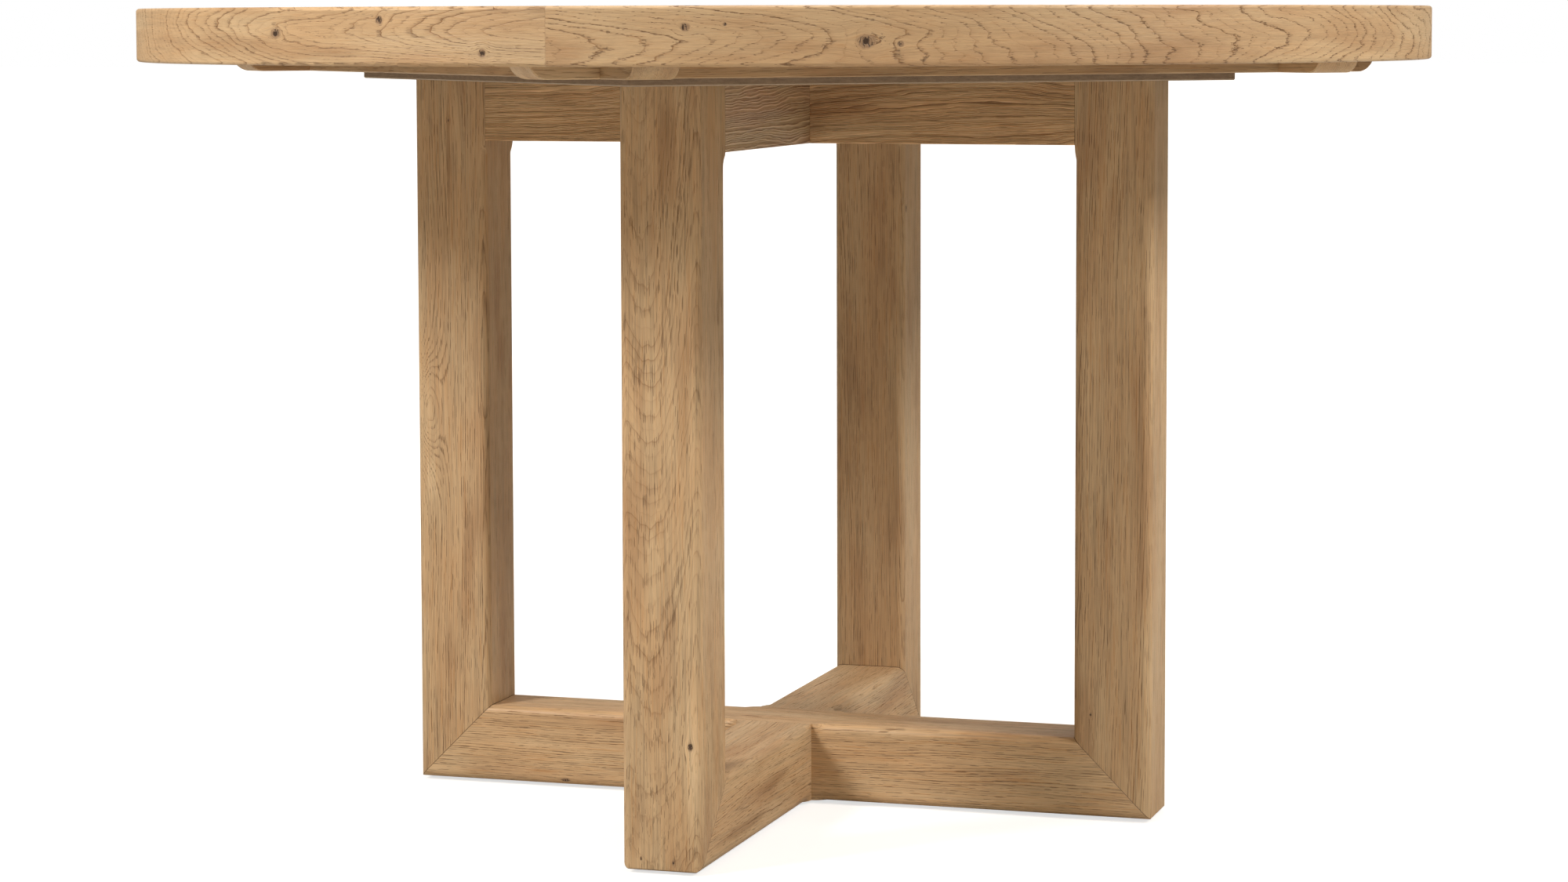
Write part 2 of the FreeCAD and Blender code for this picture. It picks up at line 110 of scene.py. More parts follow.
class Graph:
    """Short calls that add shader nodes; most return an output socket."""

    def __init__(self, tree):
        self.tree = tree

    def node(self, kind, **settings):
        made = self.tree.nodes.new(kind)
        for name, value in settings.items():
            setattr(made, name, value)
        return made

    def feed(self, socket, value):
        """Link a socket into an input, or set the input to a plain value."""
        if isinstance(value, bpy.types.NodeSocket):
            self.tree.links.new(value, socket)
        elif value is not None:
            socket.default_value = value

    def math(self, operation, *values, clamp=False):
        made = self.node("ShaderNodeMath", operation=operation, use_clamp=clamp)
        for socket, value in zip(made.inputs, values):
            self.feed(socket, value)
        return made.outputs[0]

    def vector(self, operation, a, b=None, scale=None):
        made = self.node("ShaderNodeVectorMath", operation=operation)
        self.feed(made.inputs[0], a)
        self.feed(made.inputs[1], b)
        if scale is not None:
            self.feed(made.inputs["Scale"], scale)
        as_number = operation in ("LENGTH", "DISTANCE", "DOT_PRODUCT")
        return made.outputs[1 if as_number else 0]

    def split(self, vector):
        made = self.node("ShaderNodeSeparateXYZ")
        self.feed(made.inputs[0], vector)
        return made.outputs[0], made.outputs[1], made.outputs[2]

    def join(self, x, y, z):
        made = self.node("ShaderNodeCombineXYZ")
        for socket, value in zip(made.inputs, (x, y, z)):
            self.feed(socket, value)
        return made.outputs[0]

    def noise(self, where, detail=2.0, roughness=0.5, colour=False):
        made = self.node("ShaderNodeTexNoise")
        self.feed(made.inputs["Vector"], where)
        made.inputs["Scale"].default_value = 1.0
        made.inputs["Detail"].default_value = detail
        made.inputs["Roughness"].default_value = roughness
        return made.outputs[1 if colour else 0]

    def cells(self, where):
        """Distance to the nearest cell's centre, that cell's own random colour, and its centre."""
        made = self.node("ShaderNodeTexVoronoi")
        self.feed(made.inputs["Vector"], where)
        made.inputs["Scale"].default_value = 1.0
        return made.outputs["Distance"], made.outputs["Color"], made.outputs["Position"]

    def random(self, number):
        made = self.node("ShaderNodeTexWhiteNoise", noise_dimensions="1D")
        self.feed(made.inputs["W"], number)
        return made.outputs[0]

    def smooth(self, value, low, high):
        """0 below low, 1 above high, smooth between."""
        made = self.node("ShaderNodeMapRange", interpolation_type="SMOOTHSTEP")
        for name, number in (("Value", value), ("From Min", low), ("From Max", high)):
            self.feed(made.inputs[name], number)
        return made.outputs[0]

    def centred(self, value, amount):
        """A 0 to 1 value turned into -amount/2 to amount/2."""
        return self.math("MULTIPLY", self.math("SUBTRACT", value, 0.5), amount)

    def blend(self, factor, a, b, kind="MIX"):
        made = self.node("ShaderNodeMix", data_type="RGBA", blend_type=kind)
        self.feed(made.inputs[0], factor)
        self.feed(made.inputs[6], a)
        self.feed(made.inputs[7], b)
        return made.outputs[2]

    def tinted(self, factor, colour, tint):
        """The colour multiplied by a tint, as far as the factor says."""
        return self.blend(factor, colour, self.blend(1.0, colour, tint, "MULTIPLY"))

    def bump(self, height, strength, depth):
        """A normal tilted by a height that stands for depth metres."""
        made = self.node("ShaderNodeBump")
        made.inputs["Strength"].default_value = strength
        made.inputs["Distance"].default_value = depth
        self.feed(made.inputs["Height"], height)
        return made.outputs[0]

    def group(self, tree, **inputs):
        made = self.node("ShaderNodeGroup", node_tree=tree)
        for name, value in inputs.items():
            self.feed(made.inputs[name.replace("_", " ")], value)
        return made.outputs


def new_group(name, inputs, outputs):
    """An empty node group; returns it, its graph, its inner input sockets and its result sockets."""
    tree = bpy.data.node_groups.new(name, "ShaderNodeTree")
    kinds = {"f": "NodeSocketFloat", "v": "NodeSocketVector", "c": "NodeSocketColor"}
    for socket, kind in inputs:
        tree.interface.new_socket(socket, in_out="INPUT", socket_type=kinds[kind])
    for socket, kind in outputs:
        tree.interface.new_socket(socket, in_out="OUTPUT", socket_type=kinds[kind])
    graph = Graph(tree)
    return tree, graph, graph.node("NodeGroupInput").outputs, graph.node("NodeGroupOutput").inputs


def new_material(name):
    """A material with one principled surface; returns it, its graph and the surface's inputs."""
    material = bpy.data.materials.new(name)
    material.use_nodes = True
    tree = material.node_tree
    tree.nodes.clear()
    graph = Graph(tree)
    surface = graph.node("ShaderNodeBsdfPrincipled")
    tree.links.new(surface.outputs[0], graph.node("ShaderNodeOutputMaterial").inputs[0])
    return material, graph, surface.inputs


# ---------------------------------------------------------------- oak

def make_knot_group():
    """A knot: it parts the grain round itself and gives a mask that rises to 1 at its middle."""
    tree, g, given, result = new_group(
        "knot",
        [("Grain", "v"), ("Place", "v"), ("Reach", "v"), ("Mask", "f"), ("Push", "f"), ("Lift", "f")],
        [("Grain", "v"), ("Mask", "f"), ("Push", "f")])
    away = g.vector("SUBTRACT", given["Grain"], given["Place"])
    distance = g.vector("LENGTH", g.vector("DIVIDE", away, given["Reach"]))
    wobble = g.noise(g.vector("SCALE", given["Grain"], scale=KNOT_WOBBLE), detail=2.0)
    distance = g.math("ADD", distance, g.centred(wobble, 0.45))
    fall = g.math("EXPONENT", g.math("MULTIPLY", g.math("MULTIPLY", distance, distance), -0.45))
    squeeze = g.vector("MULTIPLY", away, ACROSS)
    parted = g.vector("SUBTRACT", given["Grain"],
                      g.vector("SCALE", squeeze, scale=g.math("MULTIPLY", fall, 0.85)))
    mask = g.math("SUBTRACT", 1.0, distance, clamp=True)
    g.feed(result["Grain"], parted)
    g.feed(result["Mask"], g.math("MAXIMUM", mask, given["Mask"]))
    g.feed(result["Push"], g.math("ADD", given["Push"], g.math("MULTIPLY", fall, given["Lift"])))
    return tree


def make_bend_group():
    """A broad swell in the log that adds years round a place, so the rings crowd on its flanks."""
    tree, g, given, result = new_group(
        "bend",
        [("Grain", "v"), ("Place", "v"), ("Reach", "v"), ("Lift", "f"), ("Push", "f")],
        [("Push", "f")])
    away = g.vector("DIVIDE", g.vector("SUBTRACT", given["Grain"], given["Place"]), given["Reach"])
    square = g.vector("DOT_PRODUCT", away, away)
    swell = g.math("EXPONENT", g.math("MULTIPLY", square, -0.5))
    g.feed(result["Push"], g.math("MULTIPLY_ADD", swell, given["Lift"], given["Push"]))
    return tree


def make_stain_group():
    """A soft-edged patch added to a running total: above 0 darkens the wood, below 0 bleaches it."""
    tree, g, given, result = new_group(
        "stain",
        [("Grain", "v"), ("Place", "v"), ("Reach", "v"), ("Strength", "f"), ("Stain", "f")],
        [("Stain", "f")])
    away = g.vector("DIVIDE", g.vector("SUBTRACT", given["Grain"], given["Place"]), given["Reach"])
    wobble = g.noise(g.vector("MULTIPLY", given["Grain"], STAIN_EDGE), detail=2.0)
    distance = g.math("ADD", g.vector("LENGTH", away), g.centred(wobble, 0.8))
    patch = g.math("SUBTRACT", 1.0, g.smooth(distance, 0.35, 1.0))
    g.feed(result["Stain"], g.math("MULTIPLY_ADD", patch, given["Strength"], given["Stain"]))
    return tree


def make_ring_group():
    """Growth rings of a log: which year a point grew in, and how far through that year.

    Grain is in metres: X along the board, Y and Z across it. Pith is where the log's centre lies
    across the board, and Drift how fast it moves sideways along the board.
    """
    tree, g, given, result = new_group(
        "rings",
        [("Grain", "v"), ("Pith", "v"), ("Drift", "v"), ("Ring", "f"), ("Seed", "f"), ("Wander", "f"),
         ("Ripple", "f"), ("Push", "f")],
        [("Year", "f"), ("Phase", "f")])
    grain = given["Grain"]
    along = g.split(grain)[0]
    seeded = g.vector("ADD", grain, g.vector("SCALE", SEED_STEP, scale=given["Seed"]))
    slow = g.noise(g.vector("MULTIPLY", seeded, SLOW_DRIFT), detail=1.0, colour=True)
    slow = g.vector("SCALE", g.vector("SUBTRACT", slow, HALF), scale=given["Wander"])
    quick = g.noise(g.vector("MULTIPLY", seeded, QUICK_RIPPLE), detail=1.0, colour=True)
    quick = g.vector("SCALE", g.vector("SUBTRACT", quick, HALF), scale=given["Ripple"])
    centre = g.vector("ADD", given["Pith"], g.vector("SCALE", given["Drift"], scale=along))
    from_pith = g.vector("ADD", g.vector("SUBTRACT", grain, centre), g.vector("ADD", slow, quick))
    radius = g.vector("LENGTH", g.vector("MULTIPLY", from_pith, ACROSS))
    uneven = g.noise(g.join(g.math("MULTIPLY", radius, RING_UNEVENNESS), given["Seed"], 0.0), detail=1.0)
    rings = g.math("ADD", g.math("DIVIDE", radius, given["Ring"]), given["Push"])
    rings = g.math("ADD", rings, g.centred(uneven, UNEVEN_YEARS))
    g.feed(result["Year"], g.math("FLOOR", rings))
    g.feed(result["Phase"], g.math("FRACT", rings))
    return tree


def make_oak_group():
    """Oak: dashes of open pores along each ring's start, fibres, streaks and drifting colour."""
    tree, g, given, result = new_group(
        "oak",
        [("Grain", "v"), ("Pith", "v"), ("Drift", "v"), ("Ring", "f"), ("Seed", "f"), ("Pore Length", "f"),
         ("Wander", "f"), ("Ripple", "f"), ("Lines", "f"), ("Pores", "f"), ("Zone", "f"), ("Fibres", "f"),
         ("Relief", "f"), ("Crest", "f"), ("Knot", "f"), ("Push", "f"), ("Stain", "f"), ("Seam", "f"),
         ("Light", "c"), ("Warm", "c")],
        [("Color", "c"), ("Roughness", "f"), ("Normal", "v")])
    grain = given["Grain"]
    offset = g.vector("SCALE", SEED_STEP, scale=given["Seed"])
    seeded = g.vector("ADD", grain, offset)
    log = dict(Pith=given["Pith"], Drift=given["Drift"], Ring=given["Ring"], Seed=given["Seed"],
               Wander=given["Wander"], Ripple=given["Ripple"], Push=given["Push"])

    # Rings: brown where a year starts, fading through it
    here = g.group(RINGS, Grain=grain, **log)
    strength = g.random(g.math("MULTIPLY_ADD", given["Seed"], YEAR_STEP, here["Year"]))
    onset = g.smooth(here["Phase"], 0.0, YEAR_ONSET)
    core = g.math("SUBTRACT", 1.0, g.smooth(here["Phase"], CORE_STARTS, given["Zone"]))
    tail_end = g.math("MULTIPLY_ADD", given["Zone"], 2.0, 0.2)
    tail = g.math("SUBTRACT", 1.0, g.smooth(here["Phase"], TAIL_STARTS, tail_end))
    fade = g.math("MULTIPLY_ADD", core, CORE_WEIGHT, g.math("MULTIPLY", tail, TAIL_WEIGHT))
    weight = g.math("MULTIPLY_ADD", g.math("MULTIPLY", strength, strength), YEAR_RANGE, YEAR_LEAST)
    early = g.math("MULTIPLY", g.math("MULTIPLY", onset, fade), weight)
    crest = g.math("MULTIPLY", g.smooth(here["Phase"], CREST_FROM, CREST_TO), given["Crest"])

    # Pores: long thin cells, open where the middle of the cell lies at the start of a year
    cell_size = g.join(g.math("DIVIDE", 1.0, given["Pore Length"]), PORES_ACROSS, PORES_ACROSS)
    distance, cell, centre = g.cells(g.vector("MULTIPLY", seeded, cell_size))
    chance = g.split(cell)[0]
    there = g.group(RINGS, Grain=g.vector("SUBTRACT", g.vector("DIVIDE", centre, cell_size), offset), **log)
    open_until, shut_from = g.math("MULTIPLY", given["Zone"], 1.1), g.math("MULTIPLY", given["Zone"], 1.6)
    open_here = g.math("SUBTRACT", 1.0, g.smooth(there["Phase"], open_until, shut_from))
    openness = g.random(g.math("MULTIPLY_ADD", given["Seed"], YEAR_STEP, there["Year"]))
    open_here = g.math("MULTIPLY", open_here, g.math("MULTIPLY_ADD", openness, 0.65, 0.35))
    reach = g.math("MULTIPLY_ADD", open_here, 0.54, 0.03)
    reach = g.math("MULTIPLY", reach, g.math("MULTIPLY_ADD", chance, 0.8, 0.6))
    pore = g.math("SUBTRACT", 1.0, g.smooth(distance, g.math("MULTIPLY", reach, 0.72), reach))
    pore = g.math("MULTIPLY", pore, given["Pores"])

    # Fibres and tone
    fibre_size = g.join(g.math("DIVIDE", FIBRE_PER_PORE, given["Pore Length"]), FIBRES_ACROSS, FIBRES_ACROSS)
    fine = g.noise(g.vector("MULTIPLY", seeded, fibre_size), detail=3.0, roughness=0.65)
    streak = g.noise(g.vector("MULTIPLY", seeded, STREAKS), detail=4.0, roughness=0.7)
    cloud = g.noise(g.vector("MULTIPLY", seeded, CLOUDS), detail=2.0, colour=True)
    tint, dull, dark = g.split(cloud)
    base = g.blend(g.smooth(tint, 0.35, 0.65), given["Light"], given["Warm"])
    shade = g.math("ADD", g.centred(streak, STREAK_CONTRAST), g.centred(fine, given["Fibres"]))
    shade = g.math("ADD", shade, g.centred(dull, CLOUD_CONTRAST))
    level = g.math("ADD", shade, 1.0)
    base = g.blend(1.0, base, g.join(level, level, level), "MULTIPLY")
    base = g.tinted(g.smooth(dark, 0.5, 0.74), base, SMUDGE_TINT)
    stained = g.vector("SUBTRACT", (1.0, 1.0, 1.0), g.vector("SCALE", STAIN_TINT, scale=given["Stain"]))
    base = g.blend(1.0, base, stained, "MULTIPLY")
    fibres = g.math("MULTIPLY", g.smooth(fine, 0.54, 0.7), given["Fibres"], clamp=True)
    base = g.tinted(fibres, base, FIBRE_TINT)
    base = g.tinted(g.math("MULTIPLY", early, given["Lines"]), base, EARLY_TINT)
    # Painted highlight on each year's crest, where light would catch the brushed ridges
    base = g.tinted(crest, base, CREST_PAINTED_HIGHLIGHT)
    base = g.blend(g.math("MULTIPLY", pore, PORE_DARKNESS), base, PORE_COLOUR)

    # Knots: a brown ringed body and a darker, cracked heart
    knot = given["Knot"]
    swirl = g.math("SINE", g.math("MULTIPLY_ADD", knot, 30.0, g.math("MULTIPLY", streak, 9.0)))
    body = g.blend(g.math("MULTIPLY_ADD", swirl, 0.3, 0.4), KNOT_PALE, KNOT_DARK)
    body = g.blend(g.smooth(knot, 0.0, 0.5), base, body)
    cracks = g.noise(g.vector("SCALE", seeded, scale=KNOT_CRACKS), detail=2.0)
    off_crack = g.math("ABSOLUTE", g.math("SUBTRACT", cracks, 0.5))
    split = g.math("SUBTRACT", 1.0, g.smooth(off_crack, 0.02, 0.06))
    split = g.math("MULTIPLY", split, g.smooth(knot, 0.25, 0.5))
    heart = g.math("MAXIMUM", split, g.smooth(g.math("ADD", knot, g.centred(cracks, 0.9)), 0.72, 0.85))
    body = g.blend(heart, body, KNOT_HEART)
    base = g.blend(g.smooth(knot, 0.0, 0.1), base, body)
    seam = given["Seam"]
    base = g.blend(g.math("MULTIPLY", seam, SEAM_DARKNESS), base, SEAM_COLOUR)

    # Surface
    height = g.math("ADD", g.math("MULTIPLY", pore, PORE_DEPTH), g.math("MULTIPLY", early, YEAR_DEPTH))
    height = g.math("ADD", height, g.centred(streak, STREAK_HEIGHT))
    ridges = g.math("ADD", g.centred(fine, FIBRE_HEIGHT), g.math("MULTIPLY", crest, CREST_HEIGHT))
    height = g.math("MULTIPLY", g.math("ADD", height, ridges), given["Relief"])
    height = g.math("SUBTRACT", height, g.math("ADD", g.math("MULTIPLY", seam, SEAM_DEPTH), heart))
    rough = g.math("ADD", OAK_ROUGHNESS, g.math("MULTIPLY", pore, PORE_ROUGHNESS))
    rough = g.math("ADD", rough, g.centred(streak, STREAK_ROUGHNESS), clamp=True)
    g.feed(result["Color"], base)
    g.feed(result["Roughness"], rough)
    g.feed(result["Normal"], g.bump(height, RELIEF_STRENGTH, RELIEF_DEPTH))
    return tree


KNOT = make_knot_group()
BEND = make_bend_group()
STAIN = make_stain_group()
RINGS = make_ring_group()
OAK = make_oak_group()


def grain_frame(g, along, middle=0.0):
    """Grain coordinates for a board that runs up, at an angle on the flat, or round the rim."""
    place = g.node("ShaderNodeTexCoord").outputs["Object"]
    if along == "up":
        x, y, z = g.split(place)
        return g.join(z, x, y)
    turn = g.node("ShaderNodeVectorRotate", rotation_type="Z_AXIS")
    g.feed(turn.inputs["Vector"], place)
    turn.inputs["Angle"].default_value = -math.radians(middle if along == "rim" else along)
    if along != "rim":
        return turn.outputs[0]
    x, y, z = g.split(turn.outputs[0])
    bend = g.math("MULTIPLY", g.math("ARCTAN2", y, x), RIM_RADIUS)
    return g.join(bend, z, g.vector("LENGTH", g.join(x, y, 0.0)))


def oak_material(name, along, pith, drift=(0.0, 0.0), ring=3.0, seed=0.0, tone=1.0, warm=0.5, wander=0.03,
                 ripple=0.0022, pore_length=9.0, lines=0.75, pores=1.0, zone=0.22, fibres=0.5, relief=1.0,
                 crest=0.0, knots=(), stains=(), bends=(), middle=0.0, seam=None):
    """One board's oak, cut from its own log.

    along is which way the board runs, pith where the log's centre lies across it at the board's zero,
    and drift how far the centre moves across per metre along. ring and pore_length are millimetres.
    Each knot, stain and bend is (place in grain metres, reach in millimetres, strength).
    """
    material, g, surface = new_material(name)
    grain = grain_frame(g, along, middle)
    seam_mask = seam(g, grain) if seam else 0.0
    mask, push = 0.0, 0.0
    for place, reach, lift in knots:
        reach = [r * MM for r in reach]
        parts = g.group(KNOT, Grain=grain, Place=place, Reach=reach, Mask=mask, Push=push, Lift=lift)
        grain, mask, push = parts[0], parts[1], parts[2]
    for place, reach, lift in bends:
        reach = [r * MM for r in reach]
        push = g.group(BEND, Grain=grain, Place=place, Reach=reach, Lift=lift, Push=push)[0]
    stain = 0.0
    for place, reach, strength in stains:
        reach = [r * MM for r in reach]
        stain = g.group(STAIN, Grain=grain, Place=place, Reach=reach, Strength=strength, Stain=stain)[0]
    light = [c * tone for c in PALE_OAK] + [1.0]
    warm_colour = [c * tone for c in (TAN_OAK[0], TAN_OAK[1] - 0.02 * warm, TAN_OAK[2])] + [1.0]
    out = g.group(OAK, Grain=grain, Pith=(0.0, *pith), Drift=(0.0, *drift), Ring=ring * MM, Seed=seed,
                  Pore_Length=pore_length * MM, Wander=wander, Ripple=ripple, Lines=lines, Pores=pores,
                  Zone=zone, Fibres=fibres, Relief=relief, Crest=crest, Knot=mask, Push=push, Stain=stain,
                  Seam=seam_mask, Light=light, Warm=warm_colour)
    surface["IOR"].default_value = OAK_IOR
    surface["Specular IOR Level"].default_value = OAK_SPECULAR
    g.feed(surface["Base Color"], out["Color"])
    g.feed(surface["Roughness"], out["Roughness"])
    g.feed(surface["Normal"], out["Normal"])
    return material


def dress(node, material):
    """Give a CAD node its material in every slot."""
    for slot in NODES[node].material_slots:
        slot.material = material


def middle_of(node):
    """The middle of a CAD node's box."""
    low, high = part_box(node)
    return (low + high) / 2


# ---------------------------------------------------------------- sizes read from the frame

BAND_LOW, BAND_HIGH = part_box("edge_band_1")[0].z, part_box("edge_band_1")[1].z
RIM_RADIUS = cad_box[1].x
FRAME_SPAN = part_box("leg_right")[1].x
HALF_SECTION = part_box("leg_right")[1].y
LEG_INNER = FRAME_SPAN - 2 * HALF_SECTION
RAIL_LOW, RAIL_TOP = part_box("bottom_rail_across")[0].z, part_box("bottom_rail_across")[1].z
BAND_DEPTH = 8 * MM
BAND_FIRST_JOINT = -91.0
BAND_SWEEP = 120.0
BAND_PITH_BEHIND = 0.085
LATTICE_TURN = 45.0
JOINT_LINE = 0.45 * MM
BAND_JOINT_LINE = 0.8 * MM
BAND_JOINT_STRENGTH = 0.12


def line_mask(g, distance, half_width=JOINT_LINE):
    """1 on a thin joint line, falling to 0 beside it."""
    return g.math("SUBTRACT", 1.0, g.smooth(g.math("ABSOLUTE", distance), half_width * 0.4, half_width))


def mitre_line(g, out, up):
    """The sloping joint of a leg and a bottom rail, from how far out and how high a point is."""
    return line_mask(g, g.math("ADD", g.math("SUBTRACT", out, FRAME_SPAN), g.math("SUBTRACT", up, RAIL_LOW)))


def leg_seam(axis, sign):
    """The mitre at a leg's foot. The leg stands out from the middle along axis (0 for X, 1 for Y)."""
    def mask(g, grain):
        up, x, y = g.split(grain)
        return mitre_line(g, g.math("MULTIPLY", (x, y)[axis], sign), up)
    return mask


def rail_seam(g, grain):
    """The mitres at both ends of a bottom rail."""
    along, _, up = g.split(grain)
    return mitre_line(g, g.math("ABSOLUTE", along), up)


def butt_seam(g, grain):
    """The butt joints of a top rail against its legs."""
    along = g.split(grain)[0]
    return line_mask(g, g.math("SUBTRACT", g.math("ABSOLUTE", along), LEG_INNER))


def plank_seam(low, high):
    """The glue lines along both sides of a plank."""
    def mask(g, grain):
        across = g.split(grain)[1]
        return g.math("MAXIMUM", line_mask(g, g.math("SUBTRACT", across, low)),
                      line_mask(g, g.math("SUBTRACT", across, high)))
    return mask


def band_seam(g, grain):
    """The butt joints at both ends of a length of edge band."""
    half = math.radians(BAND_SWEEP / 2) * RIM_RADIUS
    along = g.split(grain)[0]
    line = line_mask(g, g.math("SUBTRACT", g.math("ABSOLUTE", along), half), BAND_JOINT_LINE)
    return g.math("MULTIPLY", line, BAND_JOINT_STRENGTH)


# ---------------------------------------------------------------- the base in oak

def dress_base():
    """Legs and rails, each from its own log; the marks lie on the faces that the photograph shows."""
    outer, near = -FRAME_SPAN, -HALF_SECTION
    straight = dict(ripple=0.0014, pore_length=16.0, lines=0.8, pores=0.8, zone=0.19, fibres=1.5, relief=1.4)
    softer = dict(straight, lines=0.62)
    front = middle_of("leg_front")
    figure = front.x - 0.016
    dress("leg_front", oak_material(
        "oak_leg_front", "up", (figure, front.y + 0.065), (0.0, -0.10), ring=1.5, seed=1.0, tone=0.97,
        wander=0.012, seam=leg_seam(1, -1),
        bends=[((0.26, figure, outer), (180.0, 60.0, 60.0), 9.0),
               ((0.76, figure, outer), (180.0, 60.0, 60.0), 11.0)],
        stains=[((0.105, 0.029, outer), (70.0, 8.0, 30.0), -0.55),
                ((0.635, 0.008, outer), (60.0, 14.0, 30.0), 0.6),
                ((0.42, 0.022, outer), (90.0, 9.0, 30.0), 0.5)],
        knots=[((0.0135, -0.019, outer), (2.6, 1.4, 30.0), 0.3),
               ((0.011, 0.011, outer), (3.0, 1.5, 30.0), 0.3),
               ((0.115, 0.027, outer), (5.0, 3.4, 30.0), 0.5)],
        **softer))
    left = middle_of("leg_left")
    dress("leg_left", oak_material(
        "oak_leg_left", "up", (left.x - 0.15, left.y + 0.14), (0.04, 0.03), ring=1.4, seed=2.0, tone=0.97,
        wander=0.014, seam=leg_seam(0, -1),
        bends=[((0.366, -0.359, near), (36.0, 12.0, 40.0), 12.0)],
        stains=[((0.62, -0.331, near), (60.0, 3.0, 30.0), 0.9),
                ((0.30, -0.352, near), (30.0, 8.0, 30.0), -0.5)],
        knots=[((0.652, -0.331, near), (2.2, 1.3, 9.0), 0.5)], **straight))
    right = middle_of("leg_right")
    dress("leg_right", oak_material(
        "oak_leg_right", "up", (right.x + 0.15, right.y + 0.12), (0.01, 0.02), ring=1.5, seed=3.0, tone=0.94,
        wander=0.01, seam=leg_seam(0, 1), knots=[((0.100, 0.310, near), (2.6, 1.3, 9.0), 0.5)], **straight))
    back = middle_of("leg_back")
    dress("leg_back", oak_material(
        "oak_leg_back", "up", (back.x - 0.15, back.y + 0.10), (0.0, 0.02), ring=1.5, seed=4.0, tone=0.94,
        wander=0.01, seam=leg_seam(1, 1), knots=[((0.554, HALF_SECTION, 0.303), (6.0, 12.0, 3.0), 1.0)],
        **straight))

    flat = dict(ripple=0.0020, pore_length=12.0, lines=0.8, pores=0.75, zone=0.19, fibres=1.4, relief=1.3)
    low = middle_of("bottom_rail_across")
    dress("bottom_rail_across", oak_material(
        "oak_rail_across", 0.0, (low.y + 0.10, low.z - 0.12), (0.02, 0.03), ring=1.5, seed=5.0, tone=1.07,
        wander=0.015, seam=rail_seam, knots=[((-0.214, near, 0.008), (6.0, 14.0, 2.5), 1.0)],
        stains=[((-0.038, -0.056, RAIL_TOP), (6.0, 12.0, 6.0), -2.0),
                ((-0.030, -0.013, RAIL_TOP), (16.0, 1.6, 6.0), 2.4)],
        **flat))
    dress("bottom_rail_front_back", oak_material(
        "oak_rail_front_back", 90.0, (low.y + 0.11, low.z - 0.13), (0.03, 0.05), ring=1.6, seed=6.0, tone=0.98,
        wander=0.022, seam=rail_seam,
        stains=[((-0.25, near, 0.020), (90.0, 20.0, 7.0), 0.9),
                ((-0.16, near, 0.045), (60.0, 20.0, 8.0), 0.6)],
        **flat))

    # Brushed rails: crest paints a highlight on each ring's ridge, and the strong early lines are the early
    # wood's colour, partly deepened as painted shade in the brushed hollows
    brushed = dict(ripple=0.0045, pore_length=16.0, lines=1.7, pores=0.4, zone=0.34, fibres=0.9, relief=2.6,
                   crest=0.9)
    high = middle_of("top_rail_across")
    # Painted light: tone=1.22 lifts this rail, which sits in the shade under the top
    dress("top_rail_across", oak_material(
        "oak_top_rail_across", 0.0, (high.y + 0.03, high.z + 0.16), (0.01, 0.05), ring=2.6, seed=7.0, tone=1.22,
        wander=0.03, seam=butt_seam, stains=[((-0.20, -0.030, 0.66), (90.0, 30.0, 60.0), -0.5)], **brushed))
    # Painted shade: tone=0.87 and warm=1.6 darken and warm this rail to the saturated shade it sits in under
    # the top
    dress("top_rail_front_back", oak_material(
        "oak_top_rail_front_back", 90.0, (high.y + 0.05, high.z - 0.14), (0.05, 0.06), ring=2.4, seed=8.0,
        tone=0.87, warm=1.6, wander=0.03, seam=butt_seam, **brushed))


# ---------------------------------------------------------------- the top in oak

def rim_knot(angle, middle, z, reach, lift):
    """A knot on the rim at an angle round the table and a height above the floor."""
    return ((math.radians(angle - middle) * RIM_RADIUS, z, RIM_RADIUS), (*reach, 30.0), lift)


def rim_swell(along, z, reach, lift):
    """A broad swell on the rim, a distance along from the middle of the band's length."""
    return ((along, z, RIM_RADIUS), (reach, 400.0, 400.0), lift)


def dress_bands():
    """The bent edge band, three lengths with cathedral grain and knots."""
    z = (BAND_LOW + BAND_HIGH) / 2
    depth = RIM_RADIUS - BAND_PITH_BEHIND
    middles = [BAND_FIRST_JOINT + BAND_SWEEP * (i + 0.5) for i in range(3)]
    right, left = middles[0], middles[2] - 360.0  # the two lengths that the photograph shows
    looks = [
        dict(pith=(z - 0.004, depth), drift=(0.012, -0.075), seed=11.0, tone=0.92, ring=1.9, zone=0.13,
             lines=1.0, pores=1.0, pore_length=4.0, bends=[rim_swell(0.15, z, 310.0, 9.0)],
             knots=[rim_knot(-66.5, right, 0.731, (10.0, 7.5), 1.6),
                    rim_knot(-63.9, right, 0.729, (3.6, 3.0), 0.5),
                    rim_knot(-80.1, right, 0.743, (5.0, 4.2), 0.8),
                    rim_knot(-77.1, right, 0.745, (2.4, 2.0), 0.3)]),
        dict(pith=(z + 0.006, depth), drift=(-0.01, 0.08), seed=12.0, tone=0.94, ring=2.4, zone=0.16,
             lines=0.9, pores=0.9, pore_length=4.5),
        dict(pith=(z + 0.002, depth + 0.03), drift=(0.01, 0.07), seed=13.0, tone=0.95, ring=1.5, zone=0.17,
             lines=1.15, pores=0.6, pore_length=6.0, bends=[rim_swell(-0.2, z, 330.0, 12.0)],
             knots=[rim_knot(-117.2, left, 0.738, (9.0, 6.0), 1.6),
                    rim_knot(-105.7, left, 0.749, (5.0, 5.0), 1.0),
                    rim_knot(-96.3, left, 0.722, (4.5, 5.0), 1.0)]),
    ]
    for i, (middle, look) in enumerate(zip(middles, looks)):
        dress("edge_band_%d" % (i + 1), oak_material(
            "oak_band_%d" % (i + 1), "rim", middle=middle, wander=0.018, fibres=0.7, relief=1.3,
            seam=band_seam, **look))


